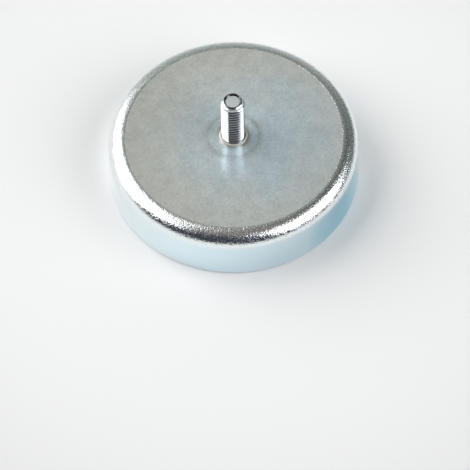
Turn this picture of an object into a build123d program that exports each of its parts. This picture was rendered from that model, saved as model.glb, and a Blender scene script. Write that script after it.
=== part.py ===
from build123d import *
from math import cos, pi, radians, sin, tan
import os

# Ferrite pot magnet with a threaded stud: a drawn steel pot, mouth down, holds a
# ferrite disc in resin. A headed stud is pressed through its back from the inside.
# The mouth is the holding face, in the plane z = 0, and the stud points along +Z.
# All sizes are in millimetres.

# Steel pot, deep drawn from sheet and zinc plated
face_diameter = 63.0  # outside the mouth, the nominal size of the magnet
pot_height = 14.0  # holding face to the flat of the back
pot_sheet = 2.5
wall_draft = 2.0  # degrees that the wall flares towards the mouth
draw_radius = 3.7  # outside, between wall and back
mouth_edge_break = 0.3  # outside; inside, the ground face meets the resin square

# Embossing in the back, pushed out by the stud's head
boss_spread = 1.3  # the embossing starts this far outside the head's seat
boss_step_run = 0.8  # width of the slope at its foot
boss_step_height = 0.07
boss_shelf_width = 0.6  # nearly level ring between that slope and the dome
boss_shelf_rise = 0.02
boss_height = 0.24  # back to the foot of the lip
boss_blend_radius = 2.5

# Lip turned up round the stud as it was pressed in
lip_wall = 0.45
lip_height = 0.5  # above the embossing
lip_crest_break = 0.15

# Stud: M6 rod with a thin round head and a ribbed neck that bites the sheet
stud_diameter = 5.9  # crests of the M6 thread
stud_reach = 14.75  # back of the pot to the rim of the stud's tip
tip_diameter = 4.6  # rim of the end
tip_height = 1.45  # length of the point
cup_diameter = 3.5  # floor of the shallow cup that thread rolling leaves in the end
cup_depth = 0.4
head_diameter = 10.8
head_thickness = 1.0
neck_length = 1.1
neck_step = 0.1  # the ribs' root stands this far outside the thread
rib_height = 0.2
rib_count = 24
relief_diameter = 4.9  # run-out between neck and thread, at the thread's root
thread_start_gap = 0.15  # lip to the first full crest

# Ferrite disc, pressed, sintered and ground on both faces
ferrite_recess = 0.2  # below the steel mouth, so that the steel lands first
ferrite_edge_break = 0.4  # at the mouth

# Resin ring, cast between disc and wall
resin_gap = 1.0  # disc to wall, at the floor of the pot
resin_recess = 0.5  # below the mouth

# Clearances
stud_hole_clearance = 0.05
neck_clearance = 0.02
head_side_clearance = 0.1
head_depth_clearance = 0.1  # head to disc, so that the disc sits on the floor

# Levels
floor_z = pot_height - pot_sheet
seat_z = floor_z + head_depth_clearance + head_thickness
neck_top_z = seat_z + neck_length
lip_foot_z = pot_height + boss_height
lip_top_z = lip_foot_z + lip_height
tip_z = pot_height + stud_reach

# Radii
face_radius = face_diameter / 2
draft_slope = tan(radians(wall_draft))
mouth_inner_radius = face_radius - pot_sheet / cos(radians(wall_draft))
floor_radius = mouth_inner_radius - floor_z * draft_slope
ferrite_radius = floor_radius - resin_gap
stud_radius = stud_diameter / 2
head_radius = head_diameter / 2
seat_radius = head_radius + head_side_clearance
hole_radius = stud_radius + stud_hole_clearance
lip_radius = hole_radius + lip_wall
neck_root_radius = stud_radius + neck_step
boss_radius = seat_radius + boss_spread


def turned(corners):
    """Solid of revolution about Z from (radius, height) corners, or (radius, height, fillet)."""
    points = [corner[:2] for corner in corners]
    fillets = [corner[2] if len(corner) > 2 else 0 for corner in corners]
    outline = FilletPolyline(*points, radius=fillets, close=True)
    return revolve(Plane.XZ * make_face(outline), Axis.Z)


def ribbed_neck(top_z, clearance=0.0):
    """Prism on the head's seat with straight V ribs all round, grown by the clearance."""
    root = neck_root_radius + clearance
    crest = root + rib_height
    half_rib = pi / rib_count
    points = []
    for rib in range(rib_count):
        angle = 2 * rib * half_rib
        points.append((crest * cos(angle), crest * sin(angle)))
        points.append((root * cos(angle + half_rib), root * sin(angle + half_rib)))
    section = make_face(Polyline(*points, close=True))
    return Pos(0, 0, seat_z) * extrude(section, top_z - seat_z)


def steel_pot():
    """One drawn cup: flared wall, rounded back, embossing with its lip, and the head's seat."""
    step_radius = boss_radius - boss_step_run
    step_z = pot_height + boss_step_height
    shelf_radius = step_radius - boss_shelf_width
    shelf_z = step_z + boss_shelf_rise
    cup = turned(
        [
            (mouth_inner_radius, 0),
            (face_radius, 0),
            (face_radius - pot_height * draft_slope, pot_height, draw_radius),
            (boss_radius, pot_height, boss_blend_radius),
            (step_radius, step_z),
            (shelf_radius, shelf_z),
            (lip_radius, lip_foot_z),
            (lip_radius, lip_top_z - lip_crest_break),
            (lip_radius - lip_crest_break, lip_top_z),
            (hole_radius, lip_top_z),
            (hole_radius, seat_z),
            (seat_radius, seat_z),
            (seat_radius, floor_z),
            (floor_radius, floor_z),
        ]
    )
    outer_mouth_edge = cup.edges().group_by(Axis.Z)[0].sort_by(SortBy.RADIUS)[-1]
    cup = chamfer(outer_mouth_edge, mouth_edge_break)
    return cup - ribbed_neck(neck_top_z + neck_clearance, neck_clearance)


def threaded_stud():
    """Head, ribbed neck, run-out and rod; the rod is as wide as the thread's crests."""
    relief_radius = relief_diameter / 2
    tip_radius = tip_diameter / 2
    thread_z = lip_top_z + thread_start_gap
    runout_z = thread_z - (stud_radius - relief_radius)
    head_bottom_z = seat_z - head_thickness
    rod = turned(
        [
            (0, head_bottom_z),
            (head_radius, head_bottom_z),
            (head_radius, seat_z),
            (relief_radius, seat_z),
            (relief_radius, runout_z),
            (stud_radius, thread_z),
            (stud_radius, tip_z - tip_height),
            (tip_radius, tip_z),
            (cup_diameter / 2, tip_z - cup_depth),
            (0, tip_z - cup_depth),
        ]
    )
    return rod + ribbed_neck(neck_top_z)


def ferrite_disc():
    """Plain disc on the floor of the pot, with its edge broken at the mouth."""
    disc = Pos(0, 0, ferrite_recess) * extrude(Circle(ferrite_radius), floor_z - ferrite_recess)
    mouth_edge = disc.edges().group_by(Axis.Z)[0]
    return chamfer(mouth_edge, ferrite_edge_break)


def resin_ring():
    """Fills the wedge between disc and wall, from the floor to just inside the mouth."""
    return turned(
        [
            (ferrite_radius, resin_recess),
            (mouth_inner_radius - resin_recess * draft_slope, resin_recess),
            (floor_radius, floor_z),
            (ferrite_radius, floor_z),
        ]
    )


pieces = {
    "steel_pot": steel_pot(),
    "threaded_stud": threaded_stud(),
    "ferrite_disc": ferrite_disc(),
    "resin_ring": resin_ring(),
}

os.makedirs("parts", exist_ok=True)
for node, shape in pieces.items():
    export_step(shape, f"parts/{node}.step")
    print(node, round(shape.volume, 1), shape.bounding_box().size)
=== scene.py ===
import math

import bmesh
import bpy
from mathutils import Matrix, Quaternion, Vector


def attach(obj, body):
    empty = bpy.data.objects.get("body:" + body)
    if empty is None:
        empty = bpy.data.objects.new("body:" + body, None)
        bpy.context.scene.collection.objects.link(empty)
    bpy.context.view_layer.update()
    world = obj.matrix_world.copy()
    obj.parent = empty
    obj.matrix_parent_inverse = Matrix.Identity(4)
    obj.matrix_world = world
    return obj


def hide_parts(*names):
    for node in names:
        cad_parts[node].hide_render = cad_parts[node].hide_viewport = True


# A ferrite pot magnet, mouth down, with its stud standing up along +Z.
# Sizes in the dictionaries are millimetres, angles are degrees.

mm = 0.001

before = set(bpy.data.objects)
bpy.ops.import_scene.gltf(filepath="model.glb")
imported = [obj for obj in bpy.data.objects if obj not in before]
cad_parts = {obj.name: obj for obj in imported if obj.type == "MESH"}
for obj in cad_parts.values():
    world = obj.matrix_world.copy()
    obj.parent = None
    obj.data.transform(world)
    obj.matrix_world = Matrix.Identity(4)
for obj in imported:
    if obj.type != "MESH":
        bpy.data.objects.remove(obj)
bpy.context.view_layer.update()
print("frame loaded:", ", ".join(sorted(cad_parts)))


# modelling helpers

def deselectAll():
    if bpy.context.object and bpy.context.object.mode != "OBJECT":
        bpy.ops.object.mode_set(mode="OBJECT")
    bpy.ops.object.select_all(action="DESELECT")


def editMode(kind):
    # edit mode on the active object, picking verts, edges or faces
    bpy.ops.object.mode_set(mode="EDIT")
    bpy.ops.mesh.select_mode(type=kind)
    bpy.ops.mesh.select_all(action="DESELECT")


def pick(kind, keep):
    # selects the verts, edges or faces that pass the test
    mesh = bmesh.from_edit_mesh(bpy.context.object.data)
    modes = {"verts": "VERT", "edges": "EDGE", "faces": "FACE"}
    bpy.ops.mesh.select_mode(type=modes[kind])
    bpy.ops.mesh.select_all(action="DESELECT")
    for part in getattr(mesh, kind):
        if keep(part):
            part.select_set(True)
    mesh.select_flush_mode()
    bmesh.update_edit_mesh(bpy.context.object.data)


def onRing(radius, height, slack=0.02):
    # a test for edges that lie on a ring round the axis
    def test(edge):
        return all(
            abs(math.hypot(v.co.x, v.co.y) / mm - radius) < slack
            and abs(v.co.z / mm - height) < slack
            for v in edge.verts
        )
    return test


def drawProfile(name, corners):
    # one vertex, extruded from corner to corner of a half section in the XZ plane
    deselectAll()
    radius, height = corners[0]
    bpy.ops.mesh.primitive_plane_add(size=mm, location=(radius * mm, 0, height * mm))
    piece = bpy.context.object
    piece.name = name
    bpy.ops.object.mode_set(mode="EDIT")
    bpy.ops.mesh.select_mode(type="VERT")
    bpy.ops.mesh.merge(type="CENTER")
    for nextRadius, nextHeight in corners[1:]:
        step = ((nextRadius - radius) * mm, 0, (nextHeight - height) * mm)
        bpy.ops.mesh.extrude_region_move(TRANSFORM_OT_translate={"value": step})
        radius, height = nextRadius, nextHeight
    bpy.ops.object.mode_set(mode="OBJECT")
    bpy.ops.object.transform_apply(location=True, rotation=False, scale=False)
    return piece


def turnProfile(steps):
    # spins the active profile into a closed solid of revolution
    bpy.ops.object.mode_set(mode="EDIT")
    bpy.ops.mesh.select_all(action="SELECT")
    bpy.ops.mesh.spin(steps=steps, angle=math.tau, center=(0, 0, 0), axis=(0, 0, 1))
    bpy.ops.mesh.select_all(action="SELECT")
    bpy.ops.mesh.remove_doubles(threshold=0.002 * mm)
    bpy.ops.mesh.normals_make_consistent(inside=False)
    bpy.ops.object.mode_set(mode="OBJECT")


def roundRing(radius, height, width, segments):
    # rounds one ring edge of the active piece, in edit mode
    pick("edges", onRing(radius, height))
    bpy.ops.mesh.bevel(offset=width * mm, segments=segments, affect="EDGES", clamp_overlap=True)


def finishPiece(piece, node, material, smoothAngle):
    bpy.context.view_layer.objects.active = piece
    piece.select_set(True)
    bpy.ops.object.shade_smooth_by_angle(angle=math.radians(smoothAngle))
    piece.data.materials.clear()
    piece.data.materials.append(material)
    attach(piece, "root")
    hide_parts(node)
    piece.select_set(False)
    print(piece.name, len(piece.data.polygons), "faces")


# material helpers

def colour(hexValue):
    # sRGB hex to linear RGBA
    channels = [int(hexValue[i:i + 2], 16) / 255 for i in (1, 3, 5)]
    linear = [c / 12.92 if c <= 0.04045 else ((c + 0.055) / 1.055) ** 2.4 for c in channels]
    return (*linear, 1.0)


def addNode(tree, kind, settings=None, links=None):
    # settings: attributes or, by name or number, input values; links: input to output socket
    node = tree.nodes.new("ShaderNode" + kind)
    for key, value in (settings or {}).items():
        if isinstance(key, str) and hasattr(node, key):
            setattr(node, key, value)
        else:
            node.inputs[key].default_value = value
    for key, source in (links or {}).items():
        tree.links.new(source, node.inputs[key])
    return node


def newMaterial(name):
    material = bpy.data.materials.new(name)
    material.use_nodes = True
    tree = material.node_tree
    tree.nodes.clear()
    shader = addNode(tree, "BsdfPrincipled")
    output = addNode(tree, "OutputMaterial", links={"Surface": shader.outputs[0]})
    output.location = (300, 0)
    return material, tree, shader


def placeNodes(tree):
    # where a point lies on the magnet: position, distance from the axis and height in metres
    spot = addNode(tree, "TexCoord").outputs["Object"]
    parts = addNode(tree, "SeparateXYZ", links={0: spot})
    flat = addNode(tree, "VectorMath", {"operation": "MULTIPLY", 1: (1, 1, 0)}, {0: spot})
    radius = addNode(tree, "VectorMath", {"operation": "LENGTH"}, {0: flat.outputs[0]})
    return spot, radius.outputs["Value"], parts.outputs["Z"]


# zinc plate on drawn steel: electroplated, with a clear blue passivate. The flat is
# satin, the drawn bend has an orange peel of stretched grains, the wall was ironed
# smooth by the die and mirrors the floor with a blue cast.

zinc = {
    "pale": "#DBE9F0",
    "warm": "#E7E8E3",  # thin passivate, towards the rim
    "warmSpan": (22, 39),  # mm from the middle of the pale patch, with the drift added
    "paleMiddle": (5, -2, 0),
    "driftWidth": 9,
    "driftReach": 16,
    "wallRampWay": (0.87, -0.5, 0.0),
    "wallRampReach": 31.5,
    # the wall's colour from the back left to the front right: share of the way, colour. It is partly
    # a real blue passivate tint that grows to the front right, and partly painted light and shade:
    # lighter at the left, where the wall mirrors the brightly lit floor, and darker blue at the far
    # front right, where it mirrors the floor in the magnet's shadow
    "wallTintAndShade": [
        (0.1, "#F7FBFD"),
        (0.4, "#E6F4F7"),
        (0.6, "#DBECF3"),
        (0.88, "#D9ECF4"),
        (0.95, "#DDF0F7"),
        (1.0, "#AFDBEC"),
    ],
    "upperWallLight": "#F3F7F8",  # on the bend: painted light, the upper wall lighter than the lower wall, which mirrors the shaded floor
    "upperWallSpan": (9.0, 12.0),  # heights over which it takes over from the wall's
    "groundSteel": "#BDBEBE",  # the mouth is ground bare after plating
    "groundBelow": 0.04,
    "groundEdge": 0.02,
    "groundRoughness": 0.3,
    "scratchWidth": 0.12,
    "scratchDepth": 0.003,
    # painted shade round the foot of the stud, and a darker ring at the emboss edge that is partly a
    # tint where the sheet was stretched and partly painted shade: radius in mm, strength
    "shadeAndTintRoundStud": [(3.5, 0.65), (4.7, 0.0), (5.8, 0.05), (6.4, 0.42), (7.0, 0.2), (8.0, 0.0)],
    "shadeAndTintTone": "#8F8678",
    "shadeAndTintPatch": 2.5,
    "shadeAndTintPatchiness": (0.6, 1.2),
    "haze": (0.45, 0.37),  # share that the flat scatters, at the stud and at its rim
    "hazeSpan": (6, 27),
    "leftHaze": 0.85,  # and how much of that is left at the left
    "leftSpan": (-27, -8),
    "cloudWidth": 3.0,
    "cloudiness": (0.9, 1.1),
    "crystalWidth": 0.55,
    "crystalSpan": (0.25, 0.75),
    "crystalContrast": (0.78, 1.22),
    "flatRoughness": (0.165, 0.2),
    "bendRoughness": (0.1, 0.2),  # beside the wall and beside the flat
    "bendSpan": (12.6, 13.6),
    "speckSpan": (0.5, 0.6),
    "speckWidth": 0.34,
    "speckRoughness": 0.3,
    "wallRoughness": 0.1,
    "lipRoughness": 0.5,  # upset as the stud was pressed in
    "lipTone": "#D6D4CC",
    "lipRadius": 3.55,
    "lipEdge": 0.1,
    "flatGrain": 0.5,  # mm
    "flatDepth": 0.004,
    "peelWidth": 0.34,
    "peelDepth": 0.07,
    "bendFrom": 26.95,
    "bendEdge": 0.35,
    "wallBelow": 10.4,
    "wallEdge": 0.5,
}


def smoothStep(tree, value, low, high):
    settings = {"interpolation_type": "SMOOTHSTEP", 1: low, 2: high}
    return addNode(tree, "MapRange", settings, {0: value}).outputs[0]


def mapTo(tree, value, span, results):
    # straight from one span to another, and level beyond its ends
    settings = {1: span[0], 2: span[1], 3: results[0], 4: results[1]}
    return addNode(tree, "MapRange", settings, {0: value}).outputs[0]


def mixValue(tree, share, first, second):
    # first and second are numbers or sockets
    settings = {"data_type": "FLOAT"}
    links = {0: share}
    for index, source in ((2, first), (3, second)):
        target = settings if isinstance(source, (int, float)) else links
        target[index] = source
    return addNode(tree, "Mix", settings, links).outputs[0]


def mixColour(tree, share, first, second):
    # first and second are hex colours, linear RGB or sockets
    node = addNode(tree, "Mix", {"data_type": "RGBA"})
    for index, source in ((6, first), (7, second)):
        if isinstance(source, str):
            node.inputs[index].default_value = colour(source)
        elif isinstance(source, tuple):
            node.inputs[index].default_value = (*source, 1.0)
        else:
            tree.links.new(source, node.inputs[index])
    tree.links.new(share, node.inputs[0])
    return node.outputs[2]


def times(tree, first, second):
    node = addNode(tree, "Math", {"operation": "MULTIPLY"}, {0: first})
    if isinstance(second, (int, float)):
        node.inputs[1].default_value = second
    else:
        tree.links.new(second, node.inputs[1])
    return node.outputs[0]


def plus(tree, first, second):
    return addNode(tree, "Math", {"operation": "ADD"}, {0: first, 1: second}).outputs[0]


def inverse(tree, share):
    return addNode(tree, "Math", {"operation": "SUBTRACT", 0: 1.0}, {1: share}).outputs[0]


def grain(tree, spot, width, detail=2.0, roughness=0.5):
    # noise whose cells are about the given width in millimetres
    settings = {"Scale": 1 / (width * mm), "Detail": detail, "Roughness": roughness}
    return addNode(tree, "TexNoise", settings, {"Vector": spot}).outputs[0]


def addRelief(tree, shader, height):
    # height is a socket in millimetres
    relief = addNode(tree, "Bump", {"Strength": 1.0, "Distance": mm}, {"Height": height})
    tree.links.new(relief.outputs[0], shader.inputs["Normal"])


lineStretch = 0.03  # shrinks the noise's X, so that its grains become long lines
noiseSpan = (0.3, 0.7)  # noise stays within these for most of a surface


def groundLines(tree, spot, width):
    # long straight scratches along X, as a surface grinder leaves them
    stretch = {"operation": "MULTIPLY", 1: (lineStretch, 1, 1)}
    long = addNode(tree, "VectorMath", stretch, {0: spot})
    return grain(tree, long.outputs[0], width, 3.0)


def ramp(tree, share, stops):
    # colour ramp from (place, colour) stops
    node = addNode(tree, "ValToRGB", links={0: share})
    elements = node.color_ramp.elements
    while len(elements) < len(stops):
        elements.new(0.5)
    for element, (place, tone) in zip(elements, stops):
        element.position = place
        element.color = tone
    return node.outputs[0]


def makeZinc():
    z = zinc
    material, tree, shader = newMaterial("zincPlatedSteel")
    spot, radius, height = placeNodes(tree)
    edge = z["wallEdge"]
    above = smoothStep(tree, height, (z["wallBelow"] - edge) * mm, (z["wallBelow"] + edge) * mm)
    outside = smoothStep(tree, radius, z["bendFrom"] * mm, (z["bendFrom"] + z["bendEdge"]) * mm)
    bend = times(tree, above, outside)
    wall = inverse(tree, above)
    onFlat = inverse(tree, outside)
    flatTop = times(tree, onFlat, above)
    groundFrom = z["groundBelow"]
    ground = smoothStep(tree, height, (groundFrom + z["groundEdge"]) * mm, groundFrom * mm)
    lip = smoothStep(tree, radius, z["lipRadius"] * mm, (z["lipRadius"] - z["lipEdge"]) * mm)

    # passivate film: warm towards the rim of the flat, blue to the front right of the wall. Painted
    # light and shade ride on it: painted shade round the foot of the stud, the wall lighter on the
    # left and on the bend, and darker blue low at the front right, where it mirrors shaded floor
    paleMiddle = [a * mm for a in z["paleMiddle"]]
    distance = {"operation": "DISTANCE", 1: paleMiddle}
    away = addNode(tree, "VectorMath", distance, {0: spot}).outputs["Value"]
    drift = times(tree, grain(tree, spot, z["driftWidth"], 1.5), z["driftReach"] * mm)
    near, far = z["warmSpan"]
    warmShare = smoothStep(tree, plus(tree, drift, away), near * mm, far * mm)
    flatTone = mixColour(tree, warmShare, z["pale"], z["warm"])
    # painted shade round the foot of the stud; the ring at the emboss edge is partly a strain tint
    # and partly painted shade
    first, last = z["shadeAndTintRoundStud"][0][0], z["shadeAndTintRoundStud"][-1][0]
    out = mapTo(tree, radius, (first * mm, last * mm), (0, 1))
    bands = [((r - first) / (last - first), (s, s, s, 1)) for r, s in z["shadeAndTintRoundStud"]]
    patches = grain(tree, spot, z["shadeAndTintPatch"], 1.0)
    patchy = mapTo(tree, patches, noiseSpan, z["shadeAndTintPatchiness"])
    shadeAndTintShare = times(tree, ramp(tree, out, bands), patchy)
    flatTone = mixColour(tree, shadeAndTintShare, flatTone, z["shadeAndTintTone"])
    # painted light and shade on the wall: lighter at the left, darker blue at the front right where
    # it mirrors the floor in the magnet's shadow; partly a real blue passivate
    along = {"operation": "DOT_PRODUCT", 1: z["wallRampWay"]}
    towards = addNode(tree, "VectorMath", along, {0: spot}).outputs["Value"]
    way = mapTo(tree, towards, (-z["wallRampReach"] * mm, z["wallRampReach"] * mm), (0, 1))
    wallTintAndShade = ramp(tree, way, [(place, colour(tone)) for place, tone in z["wallTintAndShade"]])
    # painted light: the bend and upper wall lighter than the lower wall, which mirrors the shaded
    # floor
    upperWallShare = smoothStep(tree, height, z["upperWallSpan"][0] * mm, z["upperWallSpan"][1] * mm)
    wallTintAndShade = mixColour(tree, upperWallShare, wallTintAndShade, z["upperWallLight"])
    plated = mixColour(tree, flatTop, wallTintAndShade, flatTone)
    plated = mixColour(tree, lip, plated, z["lipTone"])
    tree.links.new(mixColour(tree, ground, plated, z["groundSteel"]), shader.inputs["Base Color"])

    # crystalline plating scatters a part of the light on the flat, most round the stud
    hazeHere = mapTo(tree, radius, [a * mm for a in z["hazeSpan"]], z["haze"])
    cloud = mapTo(tree, grain(tree, spot, z["cloudWidth"], 1.0), noiseSpan, z["cloudiness"])
    sparkle = grain(tree, spot, z["crystalWidth"], 2.0, 0.6)
    crystals = mapTo(tree, sparkle, z["crystalSpan"], z["crystalContrast"])
    side = addNode(tree, "SeparateXYZ", links={0: spot}).outputs["X"]
    left = mapTo(tree, side, [a * mm for a in z["leftSpan"]], (z["leftHaze"], 1.0))
    uneven = times(tree, times(tree, cloud, crystals), left)
    scattered = times(tree, times(tree, hazeHere, uneven), flatTop)
    tree.links.new(inverse(tree, scattered), shader.inputs["Metallic"])

    # roughness: mottled satin flat, then bend, then wall, lip and mouth
    mottle = grain(tree, spot, z["flatGrain"], 3.0, 0.6)
    flat = mapTo(tree, mottle, noiseSpan, z["flatRoughness"])
    stretched = mapTo(tree, height, [a * mm for a in z["bendSpan"]], z["bendRoughness"])
    specks = smoothStep(tree, grain(tree, spot, z["speckWidth"], 1.0), *z["speckSpan"])
    rough = mixValue(tree, specks, stretched, z["speckRoughness"])
    rough = mixValue(tree, bend, flat, rough)
    for share, value in ((wall, "wallRoughness"), (lip, "lipRoughness"), (ground, "groundRoughness")):
        rough = mixValue(tree, share, rough, z[value])
    tree.links.new(rough, shader.inputs["Roughness"])

    # relief: orange peel on the bend, fine grain on the flat, scratches on the mouth
    peel = times(tree, times(tree, grain(tree, spot, z["peelWidth"], 1.0), bend), z["peelDepth"])
    fine = times(tree, times(tree, mottle, onFlat), z["flatDepth"])
    lines = times(tree, groundLines(tree, spot, z["scratchWidth"]), ground)
    scratches = times(tree, lines, z["scratchDepth"])
    addRelief(tree, shader, plus(tree, plus(tree, peel, fine), scratches))
    return material


zincMaterial = makeZinc()


studZinc = {
    "tone": "#E2E8E8",
    "root": "#63717D",  # painted shade in the roots of the thread
    "rootSpan": (2.55, 2.88),
    "rootTop": (27.1, 27.4),  # the painted shade fades out up to the point
    "creaseShade": "#5C6062",  # painted shade: a dark ring in the crease round the cup in the end
    "creaseShadeRing": (1.76, 2.3),
    "creaseShadeEdge": 0.05,
    "flankRoughness": 0.12,
    "endRoughness": 0.4,
    "endMetal": 0.7,
    "endFrom": 28.0,
    "endEdge": 0.05,
    "shornWidth": 0.25,
    "shornDepth": 0.02,
}


def makeStudZinc():
    # rolled flanks are bright, the sheared end face is matt
    s = studZinc
    material, tree, shader = newMaterial("brightZincStud")
    spot, radius, height = placeNodes(tree)
    atEnd = smoothStep(tree, height, (s["endFrom"] - s["endEdge"]) * mm, s["endFrom"] * mm)
    # painted shade: a dark ring in the crease round the cup in the end
    ringIn, ringOut = s["creaseShadeRing"]
    inRing = smoothStep(tree, radius, (ringIn - s["creaseShadeEdge"]) * mm, ringIn * mm)
    within = smoothStep(tree, radius, ringOut * mm, (ringOut - s["creaseShadeEdge"]) * mm)
    creaseShade = times(tree, times(tree, inRing, within), atEnd)
    inside = smoothStep(tree, radius, ringIn * mm, (ringIn - s["creaseShadeEdge"]) * mm)
    face = times(tree, inside, atEnd)
    # painted shade: darker thread roots
    rootLow, rootHigh = s["rootSpan"]
    topLow, topHigh = s["rootTop"]
    deep = smoothStep(tree, radius, rootHigh * mm, rootLow * mm)
    deep = times(tree, deep, smoothStep(tree, height, topHigh * mm, topLow * mm))
    flanks = mixColour(tree, deep, s["tone"], s["root"])
    tree.links.new(mixColour(tree, creaseShade, flanks, s["creaseShade"]), shader.inputs["Base Color"])
    rough = mixValue(tree, face, s["flankRoughness"], s["endRoughness"])
    tree.links.new(rough, shader.inputs["Roughness"])
    tree.links.new(mixValue(tree, face, 1.0, s["endMetal"]), shader.inputs["Metallic"])
    shorn = times(tree, grain(tree, spot, s["shornWidth"], 3.0), face)
    addRelief(tree, shader, times(tree, shorn, s["shornDepth"]))
    return material


studMaterial = makeStudZinc()


sintered = {
    "dark": "#343436",
    "light": "#48484A",  # ground grains catch more light
    "grainWidth": 0.35,
    "cloudWidth": 9,
    "grainShare": 0.6,  # of the tone, the rest is cloud
    "toneSpan": (0.38, 0.62),
    "roughness": (0.42, 0.6),
    "lineWidth": 0.16,
    "lineDepth": 0.006,
}


def makeFerrite():
    f = sintered
    material, tree, shader = newMaterial("sinteredFerrite")
    spot = placeNodes(tree)[0]
    grains = grain(tree, spot, f["grainWidth"], 4.0, 0.7)
    cloud = grain(tree, spot, f["cloudWidth"], 2.0)
    fromGrains = times(tree, grains, f["grainShare"])
    fromCloud = times(tree, cloud, 1 - f["grainShare"])
    share = smoothStep(tree, plus(tree, fromGrains, fromCloud), *f["toneSpan"])
    tree.links.new(mixColour(tree, share, f["dark"], f["light"]), shader.inputs["Base Color"])
    low, high = f["roughness"]
    tree.links.new(mapTo(tree, grains, noiseSpan, (high, low)), shader.inputs["Roughness"])
    lines = times(tree, groundLines(tree, spot, f["lineWidth"]), f["lineDepth"])
    pits = times(tree, grains, f["lineDepth"])
    addRelief(tree, shader, plus(tree, lines, pits))
    return material


ferriteMaterial = makeFerrite()


cast = {"tone": "#1B1B1C", "roughness": (0.28, 0.45), "dimples": 1.4, "depth": 0.03}


def makeResin():
    c = cast
    material, tree, shader = newMaterial("castResin")
    shader.inputs["Base Color"].default_value = colour(c["tone"])
    spot = placeNodes(tree)[0]
    dimples = grain(tree, spot, c["dimples"], 2.0)
    rough = mapTo(tree, dimples, noiseSpan, c["roughness"])
    tree.links.new(rough, shader.inputs["Roughness"])
    addRelief(tree, shader, times(tree, dimples, c["depth"]))
    return material


resinMaterial = makeResin()


# steel pot: deep drawn cup, seen from its back

pot = {
    "steps": 360,
    "mouthRadius": 31.5,
    "mouthInnerRadius": 28.998,
    "mouthRounding": 0.3,
    "height": 14.0,
    "topRadius": 31.011,  # where the wall would meet the back, before rounding
    "drawTangent": 3.573,  # length that a 3.7 mm radius takes off each side
    "drawSegments": 24,
    "bossRadius": 6.8,
    "bossStep": (6.0, 14.08),
    "bossShelf": (5.4, 14.115),
    "lipFoot": (3.45, 14.24),
    "lipTop": 14.74,
    "lipBreak": 0.2,
    "footRoundings": {"bossRadius": 0.6, "step": 0.28, "lipFoot": 0.12},
    "edgeSegments": 4,
    "holeRadius": 3.0,
    "seat": (5.5, 12.6),
    "floor": (28.597, 11.5),
    "support": 0.05,
    "wideFlat": 10,  # faces wider or taller than these get the thin rings
    "tallWall": 8,
}


def makePot():
    p = pot
    piece = drawProfile("drawnPot", [
        (p["mouthInnerRadius"], 0),
        (p["mouthRadius"], 0),
        (p["topRadius"], p["height"]),
        (p["bossRadius"], p["height"]),
        p["bossStep"],
        p["bossShelf"],
        p["lipFoot"],
        (p["lipFoot"][0], p["lipTop"]),
        (p["holeRadius"], p["lipTop"]),
        (p["holeRadius"], p["seat"][1]),
        p["seat"],
        (p["seat"][0], p["floor"][1]),
        p["floor"],
        (p["mouthInnerRadius"], 0),
    ])
    turnProfile(p["steps"])
    editMode("EDGE")
    roundRing(p["topRadius"], p["height"], p["drawTangent"], p["drawSegments"])
    few = p["edgeSegments"]
    rounding = p["footRoundings"]
    roundRing(p["mouthRadius"], 0, p["mouthRounding"], few)
    roundRing(p["mouthInnerRadius"], 0, p["mouthRounding"], few)
    roundRing(p["bossRadius"], p["height"], rounding["bossRadius"], 6)
    roundRing(*p["bossStep"], rounding["step"], few)
    roundRing(*p["bossShelf"], rounding["step"], few)
    roundRing(*p["lipFoot"], rounding["lipFoot"], few)
    roundRing(p["lipFoot"][0], p["lipTop"], p["lipBreak"], few)
    roundRing(p["holeRadius"], p["lipTop"], p["lipBreak"] / 2, 1)

    # thin rings beside the roundings keep the flat and the wall straight in their shading
    def wideFace(face):
        heights = [v.co.z for v in face.verts]
        radii = [math.hypot(v.co.x, v.co.y) for v in face.verts]
        onFlat = face.normal.z > 0.999 and max(radii) - min(radii) > p["wideFlat"] * mm
        tall = max(heights) - min(heights) > p["tallWall"] * mm
        return onFlat or tall and min(radii) > p["mouthInnerRadius"] * mm
    pick("faces", wideFace)
    bpy.ops.mesh.inset(thickness=p["support"] * mm, use_even_offset=True)
    bpy.ops.object.mode_set(mode="OBJECT")
    finishPiece(piece, "steel_pot", zincMaterial, 30)


makePot()

# stud: M6 rod with a rolled thread

stud = {
    "pitch": 1.0,
    "crestRadius": 2.95,
    "rootRadius": 2.39,
    "crestHalf": 0.08,  # half of the crest's flat
    "rootHalf": 0.11,
    "threadFrom": 13.2,
    "phase": 0.45,  # brings a crest to the front just under the point
    "tip": 28.75,
    "spare": 0.3,  # thread left above the tip, for the blank to cut clean
    "tipRadius": 2.3,
    "tipDrop": 1.45,
    "blankMargin": 0.2,  # the blank is this much wider than the crests
    "blankSteps": 128,
    "headSteps": 96,
    "rim": [(2.47, 28.37), (2.42, 28.5), (2.34, 28.62), (2.24, 28.7), (2.12, 28.73), (2.0, 28.68)],
    "cup": (1.75, 28.38),  # shallow cup that rolling leaves in the end
    "steps": 96,
    "headRadius": 5.4,
    "headBottom": 11.6,
    "headTop": 12.6,
    "neckRadius": 3.05,
    "neckTop": 13.7,
}


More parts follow.
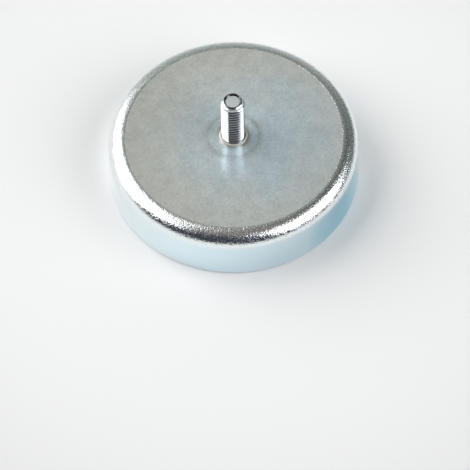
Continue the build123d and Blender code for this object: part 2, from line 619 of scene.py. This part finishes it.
def makeStud():
    s = stud
    half = s["pitch"] / 2
    # one tooth, from the middle of a root to the next
    tooth = [
        (s["rootRadius"], 0),
        (s["rootRadius"] + 0.02, s["rootHalf"]),
        (s["rootRadius"] + 0.09, s["rootHalf"] + 0.06),
        (s["crestRadius"] - 0.07, half - s["crestHalf"] - 0.05),
        (s["crestRadius"] - 0.015, half - s["crestHalf"] * 0.6),
        (s["crestRadius"], half),
        (s["crestRadius"] - 0.015, half + s["crestHalf"] * 0.6),
        (s["crestRadius"] - 0.07, half + s["crestHalf"] + 0.05),
        (s["rootRadius"] + 0.09, s["pitch"] - s["rootHalf"] - 0.06),
        (s["rootRadius"] + 0.02, s["pitch"] - s["rootHalf"]),
        (s["rootRadius"], s["pitch"]),
    ]
    low = s["threadFrom"] - 2 * s["pitch"] + s["phase"]
    turns = math.ceil((s["tip"] - low) / s["pitch"]) + 2
    rod = drawProfile("rolledThread", [(r, low + z) for r, z in tooth])
    screw = rod.modifiers.new("Thread", "SCREW")
    screw.axis = "Z"
    screw.screw_offset = s["pitch"] * mm
    screw.iterations = turns
    screw.steps = s["steps"]
    screw.render_steps = s["steps"]
    screw.use_merge_vertices = True
    screw.merge_threshold = 0.001 * mm
    bpy.ops.object.modifier_apply(modifier=screw.name)
    bpy.ops.object.mode_set(mode="EDIT")
    bpy.ops.mesh.select_all(action="SELECT")
    bpy.ops.mesh.remove_doubles(threshold=0.002 * mm)
    for level, up in ((s["threadFrom"], False), (s["tip"] + s["spare"], True)):
        bpy.ops.mesh.select_all(action="SELECT")
        bpy.ops.mesh.bisect(
            plane_co=(0, 0, level * mm), plane_no=(0, 0, 1), use_fill=True,
            clear_outer=up, clear_inner=not up)
    bpy.ops.mesh.select_all(action="SELECT")
    bpy.ops.mesh.normals_make_consistent(inside=False)
    bpy.ops.object.mode_set(mode="OBJECT")

    # the blank gives the rod its point and the cup in its end
    slope = s["tipDrop"] / (s["crestRadius"] - s["tipRadius"])
    wide = s["crestRadius"] + s["blankMargin"]
    blank = drawProfile("blank", [
        (0, s["threadFrom"] - 1),
        (wide, s["threadFrom"] - 1),
        (wide, s["tip"] - s["tipDrop"] - s["blankMargin"] * slope),
        *s["rim"],
        s["cup"],
        (0, s["cup"][1]),
    ])
    turnProfile(s["blankSteps"])
    cut = rod.modifiers.new("Point", "BOOLEAN")
    cut.operation = "INTERSECT"
    cut.solver = "EXACT"
    cut.object = blank
    bpy.context.view_layer.objects.active = rod
    bpy.ops.object.modifier_apply(modifier=cut.name)
    bpy.data.objects.remove(blank)

    head = drawProfile("headAndNeck", [
        (0, s["headBottom"]),
        (s["headRadius"], s["headBottom"]),
        (s["headRadius"], s["headTop"]),
        (s["neckRadius"], s["headTop"]),
        (s["neckRadius"], s["neckTop"]),
        (0, s["neckTop"]),
    ])
    turnProfile(s["headSteps"])
    join = rod.modifiers.new("Head", "BOOLEAN")
    join.operation = "UNION"
    join.solver = "EXACT"
    join.object = head
    bpy.context.view_layer.objects.active = rod
    bpy.ops.object.modifier_apply(modifier=join.name)
    bpy.data.objects.remove(head)
    finishPiece(rod, "threaded_stud", studMaterial, 25)


makeStud()

# ferrite disc

ferrite = {"radius": 27.597, "low": 0.2, "high": 11.5, "edge": 0.4, "steps": 360}


def makeFerriteDisc():
    f = ferrite
    piece = drawProfile("ferriteDisc", [
        (0, f["low"]),
        (f["radius"], f["low"]),
        (f["radius"], f["high"]),
        (0, f["high"]),
    ])
    turnProfile(f["steps"])
    editMode("EDGE")
    roundRing(f["radius"], f["low"], f["edge"], 2)
    bpy.ops.object.mode_set(mode="OBJECT")
    finishPiece(piece, "ferrite_disc", ferriteMaterial, 30)


makeFerriteDisc()

# resin

resin = {
    "inner": (27.597, 0.62),  # the skin dips between disc and wall as the resin shrinks
    "dip": [(28.0, 0.8), (28.5, 0.8)],
    "outer": (28.98, 0.42),
    "floor": (28.597, 11.5),
    "steps": 240,
}


def makeResinFill():
    r = resin
    piece = drawProfile("resinFill", [
        r["inner"],
        *r["dip"],
        r["outer"],
        r["floor"],
        (r["inner"][0], r["floor"][1]),
        r["inner"],
    ])
    turnProfile(r["steps"])
    finishPiece(piece, "resin_ring", resinMaterial, 50)


makeResinFill()

# floor, light and camera

studio = {
    "floorColour": "#F2F2F2",
    "farColour": "#C2C2C2",
    "fade": (0.06, 0.2),  # metres from the magnet
    "floorSize": 12.0,
    "floorRoughness": 0.8,
    "floorLevel": -0.02,  # mm, so that it doesn't share a plane with the mouth
}


def makeFloor():
    deselectAll()
    place = (0, 0, studio["floorLevel"] * mm)
    bpy.ops.mesh.primitive_plane_add(size=studio["floorSize"], location=place)
    floor = bpy.context.object
    floor.name = "floor"
    material, tree, shader = newMaterial("paleFloor")
    spot = addNode(tree, "TexCoord").outputs["Object"]
    away = addNode(tree, "VectorMath", {"operation": "LENGTH"}, {0: spot}).outputs["Value"]
    share = smoothStep(tree, away, *studio["fade"])
    tone = mixColour(tree, share, studio["floorColour"], studio["farColour"])
    tree.links.new(tone, shader.inputs["Base Color"])
    shader.inputs["Roughness"].default_value = studio["floorRoughness"]
    shader.inputs["Specular IOR Level"].default_value = 0.0
    floor.data.materials.append(material)
    floor.select_set(False)


makeFloor()

# azimuth 0 is to the right, 90 behind; the panels face the magnet, metres
softboxes = {
    "left": {"azimuth": 162.5, "elevation": 37, "lean": 14, "distance": 1.2,
             "width": 1.37, "height": 1.44, "radiance": 2.85},
    "right": {"azimuth": -25, "elevation": 37, "lean": 0, "distance": 1.2,
              "width": 1.12, "height": 0.91, "radiance": 3.2},
}


def directionTo(azimuth, elevation):
    azimuth, elevation = math.radians(azimuth), math.radians(elevation)
    return Vector((
        math.cos(azimuth) * math.cos(elevation),
        math.sin(azimuth) * math.cos(elevation),
        math.sin(elevation),
    ))


def makeLights():
    for name, box in softboxes.items():
        toward = directionTo(box["azimuth"], box["elevation"])
        lamp = bpy.data.lights.new(name + "Softbox", "AREA")
        lamp.shape = "RECTANGLE"
        lamp.size = box["width"]
        lamp.size_y = box["height"]
        lamp.energy = box["radiance"] * math.pi * box["width"] * box["height"]
        holder = bpy.data.objects.new(name + "Softbox", lamp)
        bpy.context.scene.collection.objects.link(holder)
        holder.location = toward * box["distance"]
        lean = Quaternion((0, 0, 1), math.radians(-box["lean"]))
        holder.rotation_euler = (toward.to_track_quat("Z", "Y") @ lean).to_euler()
        holder.visible_camera = False


makeLights()

# the room round the magnet, from the front (-Y) to the back, as plain dim tones,
# and dim places in it, each with an azimuth and elevation and how far it reaches
room = {
    "tones": [
        (0.0, (0.038, 0.043, 0.058)),
        (0.38, (0.06, 0.066, 0.08)),
        (0.62, (0.15, 0.17, 0.165)),
        (0.76, (0.36, 0.36, 0.35)),
        (0.92, (0.36, 0.38, 0.365)),
        (1.0, (0.46, 0.5, 0.485)),
    ],
    "ceiling": (0.165, 0.15, 0.138),
    "ceilingFrom": (0.83, 0.91),  # of straight up
    "dimPlaces": [
        {"azimuth": 55, "elevation": 52, "core": 11, "fade": 24, "tone": (0.06, 0.055, 0.042)},
        {"azimuth": 100, "elevation": 50, "core": 8, "fade": 26, "tone": (0.22, 0.24, 0.228)},
        {"azimuth": 45, "elevation": 12, "core": 10, "fade": 26, "tone": (0.14, 0.17, 0.165)},
        {"azimuth": 24, "elevation": 26, "core": 12, "fade": 24, "tone": (0.085, 0.11, 0.11)},
    ],
}


def makeWorld():
    world = bpy.data.worlds.new("studio")
    bpy.context.scene.world = world
    world.use_nodes = True
    tree = world.node_tree
    tree.nodes.clear()
    direction = addNode(tree, "TexCoord").outputs["Generated"]
    parts = addNode(tree, "SeparateXYZ", links={0: direction})
    back = addNode(tree, "MapRange", {1: -1.0, 2: 1.0}, {0: parts.outputs["Y"]})
    walls = ramp(tree, back.outputs[0], [(place, (*tone, 1)) for place, tone in room["tones"]])
    up = smoothStep(tree, parts.outputs["Z"], *room["ceilingFrom"])
    around = mixColour(tree, up, walls, room["ceiling"])
    for dim in room["dimPlaces"]:
        toward = directionTo(dim["azimuth"], dim["elevation"])
        along = {"operation": "DOT_PRODUCT", 1: toward}
        near = addNode(tree, "VectorMath", along, {0: direction}).outputs["Value"]
        fade, core = math.cos(math.radians(dim["fade"])), math.cos(math.radians(dim["core"]))
        around = mixColour(tree, smoothStep(tree, near, fade, core), around, dim["tone"])
    shade = addNode(tree, "Background", {"Strength": 1.0}, {"Color": around})
    addNode(tree, "OutputWorld", links={"Surface": shade.outputs[0]})


makeWorld()

view = {
    "place": (0, -0.35849, 0.52413),
    "turn": (32.825, 0.644, -0.979),
    "lens": 192.29,
    "sensor": 36.0,
    "clip": (0.05, 50),  # metres
}


def makeCamera():
    lens = bpy.data.cameras.new("view")
    camera = bpy.data.objects.new("view", lens)
    bpy.context.scene.collection.objects.link(camera)
    camera.location = view["place"]
    camera.rotation_euler = [math.radians(a) for a in view["turn"]]
    lens.lens = view["lens"]
    lens.sensor_width = view["sensor"]
    lens.clip_start, lens.clip_end = view["clip"]
    bpy.context.scene.camera = camera


makeCamera()
bpy.context.scene.view_settings.view_transform = "Standard"
